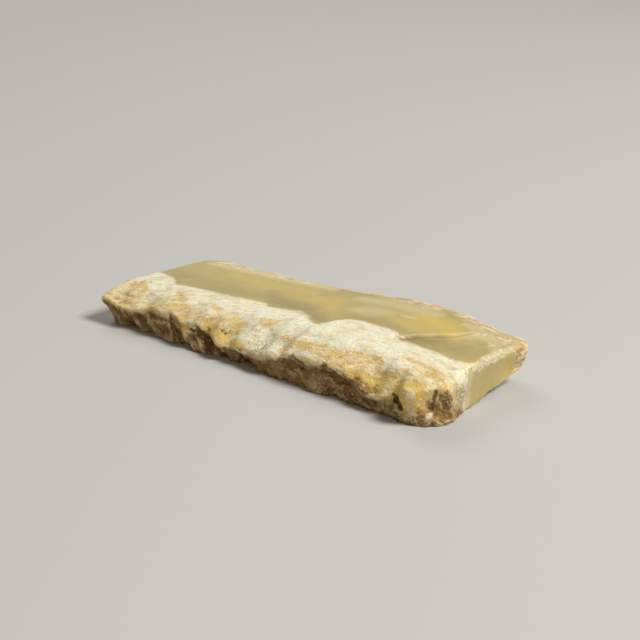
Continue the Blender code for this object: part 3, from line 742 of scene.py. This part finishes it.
@dataclass
class ShaderBench:
    """Lays out the nodes of one material. A value may be a socket, a tint, a pattern's name or a number."""

    tree: bpy.types.NodeTree
    patterns: dict[str, Socket] = field(default_factory=dict)

    def add(self, kind: str, values: dict | None = None, **settings: object) -> bpy.types.Node:
        """Adds a node and sets its options and input values.

        Args:
            kind: The node's type.
            values: Values by the name or the number of their sockets.
            settings: Options by attribute name.

        Returns:
            The node.
        """
        node = self.tree.nodes.new(kind)
        for name, value in settings.items():
            setattr(node, name, value)
        for name, value in (values or {}).items():
            self.feed(value, node.inputs[name])
        return node

    def feed(self, value: object, socket: Socket) -> None:
        """Gives an input its value.

        Args:
            value: A socket, a tint, a pattern's name, a number or three numbers.
            socket: The input.
        """
        if isinstance(value, Tint):
            value = self.add("ShaderNodeAttribute", attribute_name=value.value).outputs["Fac"]
        elif isinstance(value, str):
            value = self.patterns[value]
        if isinstance(value, Socket):
            self.tree.links.new(value, socket)
        else:
            colour = isinstance(value, tuple) and socket.type == "RGBA"
            socket.default_value = (*value, 1) if colour else value

    def math(self, operation: str, first: object, second: object, clamp: bool = False) -> Socket:
        """One sum of two values, which may be held between 0 and 1."""
        node = self.add("ShaderNodeMath", {0: first, 1: second}, operation=operation, use_clamp=clamp)
        return node.outputs[0]

    def times(self, *values: object) -> Socket:
        """The product of the values."""
        return reduce(partial(self.math, "MULTIPLY"), values)

    def most(self, *values: object) -> Socket:
        """The greatest of the values."""
        return reduce(partial(self.math, "MAXIMUM"), values)

    def mix(self, share: object, under: object, over: object) -> Socket:
        """One colour laid over another by its share."""
        values = {0: share, 6: under, 7: over}
        return self.add("ShaderNodeMix", values, data_type="RGBA", clamp_factor=True).outputs[2]

    def graded(self, value: object, low: float, high: float, first: float = 0, last: float = 1) -> Socket:
        """Goes smoothly from first to last as a value goes from low to high."""
        values = {"Value": value, "From Min": low, "From Max": high, "To Min": first, "To Max": last}
        return self.add("ShaderNodeMapRange", values, interpolation_type="SMOOTHSTEP", clamp=True).outputs[0]

    def painted(self, colour: object, *coats: tuple) -> Socket:
        """A colour with coats over it, each given by the share that shows and its own colour."""
        return reduce(lambda under, coat: self.mix(coat[0], under, coat[1]), coats, colour)

    def frayed(self, tint: Tint, noise: str, depth: float) -> Socket:
        """A tint's share with its edges broken up by a noise."""
        fray = self.graded(noise, 0.34, 0.66, -depth / 2, depth / 2)
        return self.graded(self.math("ADD", tint, fray), 0.12, 0.95)

    def _stretched(self, source: str, per_mm: Triple, shift: float) -> Socket:
        """Stored places, stretched along each axis and shifted so that two patterns differ."""
        place = self.add("ShaderNodeAttribute", attribute_name=source).outputs["Vector"]
        values = {"Vector": place, "Scale": per_mm, "Location": (shift, shift, shift)}
        return self.add("ShaderNodeMapping", values, vector_type="POINT").outputs[0]

    def noise(self, source: str, per_mm: Triple, detail: float, shift: float = 0, warp: float = 0) -> Socket:
        """Clouds or fibres from 0 to 1, in finer layers as detail rises and curled as warp rises."""
        places = {"Vector": self._stretched(source, per_mm, shift), "Scale": 1}
        return self.add("ShaderNodeTexNoise", {
            **places, "Detail": detail, "Roughness": 0.55, "Distortion": warp}).outputs[0]

    def grains(self, source: str, per_mm: Triple, shift: float = 0) -> tuple[Socket, Socket]:
        """Grains packed side by side.

        Args:
            source: The stored places that they follow.
            per_mm: Grains in each millimetre along each axis.
            shift: Moves them.

        Returns:
            How far each place is from the middle of its grain, and the grain's own tone.
        """
        place = self._stretched(source, per_mm, shift)
        cells = self.add("ShaderNodeTexVoronoi", {"Vector": place, "Scale": 1})
        tone = self.add("ShaderNodeSeparateColor", {"Color": cells.outputs["Color"]})
        return cells.outputs["Distance"], tone.outputs[0]

    def threads(self, noise: Socket, half_width: float) -> Socket:
        """Thin lines, 1 where a noise passes through its middle and fading out on both sides of it."""
        return self.graded(self.math("ABSOLUTE", self.math("SUBTRACT", noise, 0.5), 0), 0, half_width, 1, 0)


@dataclass(frozen=True)
class BandedOpalFinish:
    """The colours and gloss of the stone, zone by zone."""

    opal: Triple = (0.545, 0.435, 0.172)
    opal_grey: Triple = (0.39, 0.305, 0.135)
    opal_gold: Triple = (0.69, 0.51, 0.145)
    opal_shade: Triple = (0.24, 0.18, 0.075)
    milk: Triple = (0.70, 0.60, 0.33)
    chalk_deep: Triple = (0.74, 0.62, 0.35)
    chalk: Triple = (0.93, 0.85, 0.59)
    chalk_white: Triple = (0.97, 0.935, 0.77)
    chalk_shade: Triple = (0.60, 0.50, 0.25)
    tan: Triple = (0.67, 0.45, 0.16)
    tan_deep: Triple = (0.47, 0.26, 0.06)
    tan_pale: Triple = (0.84, 0.67, 0.39)
    honey: Triple = (0.78, 0.555, 0.155)
    thread: Triple = (0.95, 0.83, 0.54)
    wall_brown: Triple = (0.26, 0.125, 0.024)
    wall_amber: Triple = (0.42, 0.23, 0.03)
    wall_grey: Triple = (0.40, 0.27, 0.10)
    wall_dark: Triple = (0.13, 0.05, 0.010)
    hollow: Triple = (0.16, 0.06, 0.010)
    rind: Triple = (0.60, 0.43, 0.21)
    rind_red: Triple = (0.52, 0.27, 0.09)
    rind_cream: Triple = (0.88, 0.77, 0.52)
    bend: float = 1.46
    shine: float = 0.36
    glow_reach: Triple = (1.0, 0.66, 0.30)
    glow_scale: float = 0.0022

    def material(self) -> bpy.types.Material:
        """Builds the material.

        Returns:
            The material.
        """
        material = bpy.data.materials.new("banded_opal")
        material.use_nodes = True
        bench = ShaderBench(material.node_tree)
        distance, tone = bench.grains("place", (3, 3, 3))
        bench.patterns = {
            "strands": bench.noise("top_fibre", (0.75, 2, 2), 5, warp=0.8),
            "streaks": bench.noise("top_fibre", (0.28, 0.9, 0.9), 5, shift=1, warp=0.3),
            "mottle": bench.noise("top_fibre", (0.30, 0.5, 0.5), 5, shift=7),
            "wall_strands": bench.noise("wall_fibre", (0.30, 1.5, 1), 2),
            "wall_hairs": bench.noise("wall_fibre", (0.50, 3.2, 2), 4, shift=3, warp=0.4),
            "grains": distance,
            "tones": tone,
        }
        bench.patterns["rough"] = bench.most(bench.graded(Tint.BAND, 0.5, -0.5), Tint.WALL, Tint.RIND)
        glow = bench.graded(bench.math("SUBTRACT", 1, "rough", clamp=True), 0, 1, 0.75, 0.9)
        dull = bench.graded(Tint.WALL, 0, 1, 0, -0.3)
        shader = material.node_tree.nodes["Principled BSDF"]
        for name, value in (
            ("Base Color", self._colour(bench)),
            ("Roughness", self._roughness(bench)),
            ("Normal", self._bump(bench)),
            ("Subsurface Weight", bench.math("ADD", glow, dull, clamp=True)),
            ("IOR", self.bend),
            ("Specular IOR Level", self.shine),
            ("Subsurface Radius", self.glow_reach),
            ("Subsurface Scale", self.glow_scale),
        ):
            bench.feed(value, shader.inputs[name])
        return material

    def _colour(self, bench: ShaderBench) -> Socket:
        """Lays the chalk, the tan, the wall and the rind over the opal, and then the finer marks, the painted
        glints and the painted shade in the crevices.

        Args:
            bench: Where the nodes go.

        Returns:
            The colour.
        """
        hairs = bench.graded("strands", 0.34, 0.66, -0.50, 0.50)
        chalky = bench.graded(bench.math("ADD", Tint.BAND, hairs), 0.22, -0.22)
        gilt = bench.times(Tint.GOLD, bench.graded(Tint.BAND, 0.2, -0.2), 0.92)
        line = bench.times(Tint.PALE, bench.graded(Tint.BAND, 0.3, -0.1), 0.85)
        # Dark brown strokes on the broken stone, partly its own colour and partly painted shade in the
        # hollows under the lip
        brown = bench.times(bench.frayed(Tint.BROWN, "wall_hairs", 0.9), bench.graded(Tint.BROWN, 0.03, 0.25),
                            bench.graded("rough", 0.2, 0.6, 0, 0.9))
        fine = bench.threads(bench.noise("wall_fibre", (0.30, 1.2, 1), 1, shift=2, warp=0.6), 0.02)
        # Painted shade: crevices found from the cavity are darkened, most on the wall, towards dark brown
        # there and towards tan elsewhere
        crevice = bench.times(
            bench.graded(Tint.CAVITY, -0.10, -0.9), bench.graded(Tint.WALL, 0, 1, 0.45, 0.8),
            bench.graded(Tint.BROWN, 0.3, 0.8, 1, 0), bench.graded("rough", 0.3, 0.7))
        return bench.painted(
            self._opal(bench),
            (chalky, self._chalk(bench)),
            (bench.frayed(Tint.TAN, "streaks", 0.6), self._tan(bench)),
            (gilt, self._gilt(bench)),
            (line, self.thread),
            (bench.frayed(Tint.WALL, "mottle", 0.4), self._wall(bench)),
            (bench.frayed(Tint.RIND, "mottle", 0.6), self._rind(bench)),
            (brown, bench.mix(bench.graded("wall_hairs", 0.46, 0.66, 0, 0.9), self.hollow, self.wall_amber)),
            (bench.times(fine, Tint.WALL, 0.45), self.tan_pale),
            # Painted glints: white flecks standing in for sparkling highlights
            (self._painted_glints(bench), self.chalk_white),
            (crevice, bench.mix(Tint.WALL, self.tan, self.wall_dark)))

    @staticmethod
    def _painted_glints(bench: ShaderBench) -> Socket:
        """Painted glints: scattered bright flecks that stand in for sparkling highlights on the tan and honey
        stone, and a few on the wall.
        """
        clusters = bench.graded(bench.noise("place", (0.55, 0.55, 0.55), 2, shift=9), 0.45, 0.58)
        return bench.times(
            bench.graded(bench.grains("top_fibre", (2.2, 3.6, 3.6), shift=5)[1], 0.86, 0.94), clusters,
            bench.most(Tint.TAN, Tint.GOLD), bench.graded(Tint.BAND, 0.1, -0.2),
            bench.graded(Tint.WALL, 0, 1, 0.75, 0.25))

    def _gilt(self, bench: ShaderBench) -> Socket:
        """Clear honey lumps with tan depths and pale grain."""
        return bench.painted(self.honey, (bench.graded("streaks", 0.52, 0.36, 0, 0.7), self.tan),
                             (bench.graded("strands", 0.52, 0.66, 0, 0.25), self.tan_pale))

    def _opal(self, bench: ShaderBench) -> Socket:
        """Honey glass with grey, gold and milky clouds, shaded in its scoop and sugary on its worn edge."""
        return bench.painted(
            self.opal,
            (bench.graded(bench.noise("place", (0.05, 0.11, 0.11), 1), 0.35, 0.65, 0, 0.3), self.opal_grey),
            (Tint.GREY, self.opal_grey),
            (Tint.GOLD, self.opal_gold),
            (Tint.PALE, self.milk),
            (bench.times(Tint.BROWN, 0.7), self.opal_shade),
            (bench.times(Tint.SUGAR, bench.graded("tones", 0.30, 0.95, 0, 0.6)), self.chalk_white),
            (bench.graded(Tint.BAND, 0.9, 0.1, 0, 0.25), self.milk))

    def _chalk(self, bench: ShaderBench) -> Socket:
        """Cream matting with pale streaks, fine white hairs and sugary grains.

        Args:
            bench: Where the nodes go.

        Returns:
            The colour.
        """
        hairs = bench.threads(bench.noise("top_fibre", (0.30, 1.5, 1.5), 2, shift=3, warp=0.8), 0.030)
        between = bench.times(Tint.SUGAR, bench.graded("grains", 0.40, 0.75))
        return bench.painted(
            self.chalk_deep,
            (bench.graded("mottle", 0.34, 0.50), self.chalk),
            (bench.graded("mottle", 0.48, 0.62, 0, 0.8), self.chalk_white),
            (bench.graded("streaks", 0.45, 0.33, 0, 0.8), self.chalk_deep),
            (bench.graded("streaks", 0.50, 0.62, 0, 0.9), self.chalk_white),
            (bench.graded("strands", 0.47, 0.38, 0, 0.8), self.chalk_deep),
            (bench.times(hairs, 0.8), self.chalk_white),
            (bench.times(Tint.GREY, 0.75), self.opal_grey),
            (bench.times(Tint.SUGAR, bench.graded("tones", 0.60, 0.90)), self.chalk_white),
            (bench.times(between, 0.5), self.chalk_shade),
            (bench.times(between, Tint.GREY), self.opal_grey))

    def _tan(self, bench: ShaderBench) -> Socket:
        """Honey and golden-brown stone with peach patches and pale curled threads.

        Args:
            bench: Where the nodes go.

        Returns:
            The colour.
        """
        peach = bench.noise("top_fibre", (0.35, 0.9, 0.9), 3, shift=13)
        curls = bench.threads(bench.noise("top_fibre", (0.40, 0.9, 0.9), 1, shift=11, warp=1), 0.035)
        return bench.painted(
            self.tan,
            (bench.graded("mottle", 0.42, 0.56), self.honey),
            (bench.graded("streaks", 0.48, 0.34, 0, 0.9), self.tan_deep),
            (bench.graded("strands", 0.52, 0.64, 0, 0.6), self.tan_pale),
            (bench.graded(peach, 0.50, 0.62, 0, 0.9), self.tan_pale),
            (bench.times(curls, 0.9), self.thread))

    def _wall(self, bench: ShaderBench) -> Socket:
        """Dark brown broken stone with amber and grey lumps, and pale crests that are painted highlights."""
        patches = bench.graded(bench.noise("wall_fibre", (0.18, 0.5, 0.5), 3, shift=5), 0.44, 0.60, 0, 0.5)
        return bench.painted(
            self.wall_brown,
            (patches, self.wall_grey),
            (Tint.GREY, self.wall_grey),
            (Tint.GOLD, self.wall_amber),
            (bench.times(Tint.PALE, 0.8), self.tan_pale),
            (bench.graded("wall_strands", 0.42, 0.30, 0, 0.7), self.wall_dark),
            (bench.times(Tint.SUGAR, bench.graded("tones", 0.75, 0.95, 0, 0.6)), self.tan_pale),
            (bench.times(Tint.SUGAR, bench.graded("tones", 0.35, 0.10, 0, 0.6)), self.wall_dark),
            # Painted highlight: crests that stand proud are lightened towards pale tan
            (bench.graded(Tint.CAVITY, 0.15, 0.8, 0, 0.45), self.tan_pale))

    def _rind(self, bench: ShaderBench) -> Socket:
        """Tan crust with cream and reddish patches.

        Args:
            bench: Where the nodes go.

        Returns:
            The colour.
        """
        cream = (bench.graded("mottle", 0.44, 0.60, 0, 0.8), bench.graded("strands", 0.46, 0.64, 0, 0.7))
        reddish = bench.graded(bench.noise("place", (0.45, 0.9, 0.9), 4, shift=4), 0.52, 0.62, 0, 0.75)
        return bench.painted(self.rind, (bench.most(*cream), self.rind_cream), (reddish, self.rind_red))

    @staticmethod
    def _roughness(bench: ShaderBench) -> Socket:
        """Satin opal, duller broken stone and glossy grains."""
        gloss = bench.times(bench.graded("strands", 0.42, 0.62, 0.08, -0.10), "rough")
        return bench.math("ADD", bench.graded("rough", 0, 1, 0.26, 0.46), gloss, clamp=True)

    @staticmethod
    def _bump(bench: ShaderBench) -> Socket:
        """The finest relief, too small for the mesh.

        Args:
            bench: Where the nodes go.

        Returns:
            The bumped normal.
        """
        broken = bench.most(bench.graded(Tint.BAND, 0.3, -0.3), Tint.RIND)
        layers = (("strands", broken, 0.24), ("grains", Tint.SUGAR, 0.28), ("wall_strands", Tint.WALL, 0.12))
        under: dict[str, object] = {}
        for height, strength, depth in layers:
            bump = bench.add("ShaderNodeBump", values={
                "Distance": depth * MM, "Height": height, "Strength": strength, **under})
            under = {"Normal": bump.outputs["Normal"]}
        return under["Normal"]


@dataclass
class Studio:
    """A plain pale floor, soft light from above and behind, and the camera at the photograph's angle."""

    floor_size: float = 4.0
    floor_colour: Triple = (0.56, 0.55, 0.53)
    floor_roughness: float = 0.85
    key: tuple[Triple, float, float] = ((0.62, 0.15, 0.70), 0.28, 8.5)
    back_left: tuple[Triple, float, float] = ((-0.55, 0.35, 0.60), 0.45, 1.8)
    surround: Triple = (0.86, 0.79, 0.66)
    surround_strength: float = 0.24
    camera_place: Triple = (0.16714, -0.18427, 0.09577)
    camera_turn: Triple = (70.0, 0.0, 42.0)
    lens: float = 85.95
    sensor: float = 36.0
    nearest_seen: float = 0.005

    def build(self) -> None:
        """Sets up the floor, the lights and the camera."""
        self._floor()
        self._lights()
        self._camera()

    def _floor(self) -> None:
        """A wide matte floor at the height of the sawn underside."""
        bpy.ops.mesh.primitive_plane_add(size=self.floor_size)
        floor = bpy.context.object
        floor.name = "floor"
        material = bpy.data.materials.new("pale_floor")
        material.use_nodes = True
        shader = material.node_tree.nodes["Principled BSDF"]
        shader.inputs["Base Color"].default_value = (*self.floor_colour, 1)
        shader.inputs["Roughness"].default_value = self.floor_roughness
        floor.data.materials.append(material)

    def _lights(self) -> None:
        """A broad key light above and behind to the right, a weaker one to the left, and a soft surround."""
        self._lamp("key", *self.key)
        self._lamp("back_left", *self.back_left)
        world = bpy.data.worlds.new("surround")
        world.use_nodes = True
        back = world.node_tree.nodes["Background"]
        back.inputs["Color"].default_value = (*self.surround, 1)
        back.inputs["Strength"].default_value = self.surround_strength
        bpy.context.scene.world = world

    @staticmethod
    def _lamp(name: str, place: Triple, size: float, watts: float) -> None:
        """One square soft light that faces the stone.

        Args:
            name: The light's name.
            place: Where it hangs, in metres.
            size: The length of its side.
            watts: Its power.
        """
        light = bpy.data.lights.new(name, "AREA")
        light.size = size
        light.energy = watts
        lamp = bpy.data.objects.new(name, light)
        lamp.location = place
        lamp.rotation_euler = (-Vector(place)).to_track_quat("-Z", "Y").to_euler()
        bpy.context.scene.collection.objects.link(lamp)

    def _camera(self) -> None:
        """The camera, from the fit to the straight foot of the wall and the flat top."""
        data = bpy.data.cameras.new("camera")
        data.lens = self.lens
        data.sensor_width = self.sensor
        data.clip_start = self.nearest_seen
        camera = bpy.data.objects.new("camera", data)
        camera.location = self.camera_place
        camera.rotation_euler = tuple(math.radians(turn) for turn in self.camera_turn)
        bpy.context.scene.collection.objects.link(camera)
        bpy.context.scene.camera = camera


def main() -> None:
    """Builds the stone and the studio."""
    logging.basicConfig(level=logging.INFO, format="%(name)s: %(message)s")
    stone = OpalStone().build()
    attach(stone, "root")
    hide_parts(NODE)
    log.info("%s: %d points, %d faces", stone.name, len(stone.data.vertices), len(stone.data.polygons))
    Studio().build()
    bpy.context.scene.view_settings.view_transform = "Standard"


if __name__ == "__main__":
    main()
